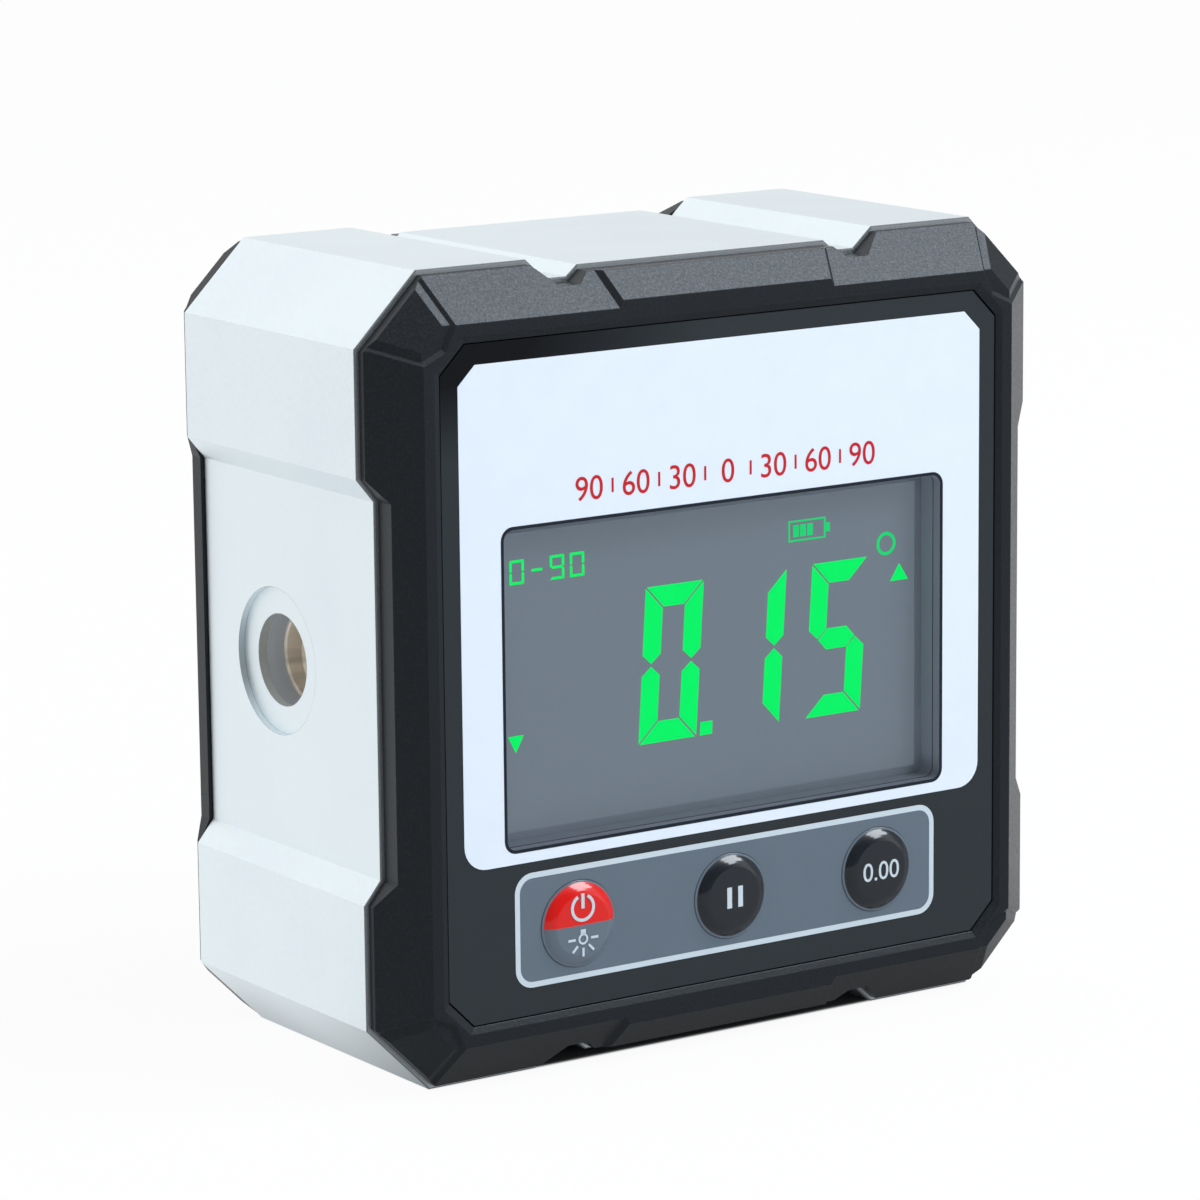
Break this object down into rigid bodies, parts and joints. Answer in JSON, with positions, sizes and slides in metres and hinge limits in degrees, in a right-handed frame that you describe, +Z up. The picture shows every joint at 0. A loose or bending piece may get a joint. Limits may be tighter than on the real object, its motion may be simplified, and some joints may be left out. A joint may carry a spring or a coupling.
{
  "type": "digital inclinometer",
  "caption": "Square pocket angle gauge: an aluminium ring closed by faceted covers, with a display, sprung keys, base magnets, a threaded side port and a hinged battery door.",
  "frame": {"origin": "middle of the footprint, level with the feet of the base", "axes": "+Z up, +X to the right of the display, -Y out of the display, +Y out of the battery door"},
  "size_m": [0.06, 0.031, 0.06],
  "materials": {
    "ring_aluminium": "fine bead-blasted, clear anodised",
    "cover_plastic": "fine satin texture",
    "plate_print": "printed panel, semi-gloss",
    "window_clear": "clear polished acrylic",
    "display_glass": "polarised display glass",
    "light_guide": "white light guide",
    "inner_plastic": "moulded, unpainted",
    "strip_rubber": "layered conductive rubber",
    "key_plastic": "glossy crown",
    "plunger_plastic": "moulded",
    "switch_steel": "stamped cover",
    "board_laminate": "solder-masked laminate",
    "chip_plastic": "moulded package",
    "chip_ceramic": "fired ceramic",
    "screw_steel": "zinc plated",
    "seal_rubber": "soft ring",
    "insert_brass": "turned",
    "magnet_nickel": "nickel plated",
    "cell_can": "plain sleeve",
    "contact_steel": "nickel plated spring steel"
  },
  "bodies": {
    "housing": {"body_frame": "ring_aluminium", "front_bezel": "cover_plastic", "rear_cover": "cover_plastic", "face_plate": "plate_print", "display_window": "window_clear", "lcd_glass": "display_glass", "lcd_backlight": "light_guide", "lcd_holder": "inner_plastic", "contact_strip": "strip_rubber", "key_switches": "switch_steel", "main_board": "board_laminate", "controller_chip": "chip_plastic", "tilt_sensor": "chip_plastic", "board_capacitors": "chip_ceramic", "cover_screws": "screw_steel", "board_screws": "screw_steel", "port_seal": "seal_rubber", "thread_insert": "insert_brass", "base_magnets": "magnet_nickel", "cell_left": "cell_can", "cell_right": "cell_can", "plus_contact": "contact_steel", "minus_contact": "contact_steel", "bridge_contact": "contact_steel"},
    "power_button": {"power_key": "key_plastic", "power_plunger": "plunger_plastic"},
    "hold_button": {"hold_key": "key_plastic", "hold_plunger": "plunger_plastic"},
    "zero_button": {"zero_key": "key_plastic", "zero_plunger": "plunger_plastic"},
    "door": {"battery_door": "cover_plastic"}
  },
  "joints": [
    {"name": "power_press", "type": "slide", "parent": "housing", "child": "power_button", "axis": [0, 1, 0], "range_m": [0, 0.0004], "stiffness_N_per_m": 3000},
    {"name": "hold_press", "type": "slide", "parent": "housing", "child": "hold_button", "axis": [0, 1, 0], "range_m": [0, 0.0004], "stiffness_N_per_m": 3000},
    {"name": "zero_press", "type": "slide", "parent": "housing", "child": "zero_button", "axis": [0, 1, 0], "range_m": [0, 0.0004], "stiffness_N_per_m": 3000},
    {"name": "door_hinge", "type": "hinge", "parent": "housing", "child": "door", "pos_m": [0, 0.01455, 0.00565], "axis": [-1, 0, 0], "range_deg": [0, 95]}
  ]
}
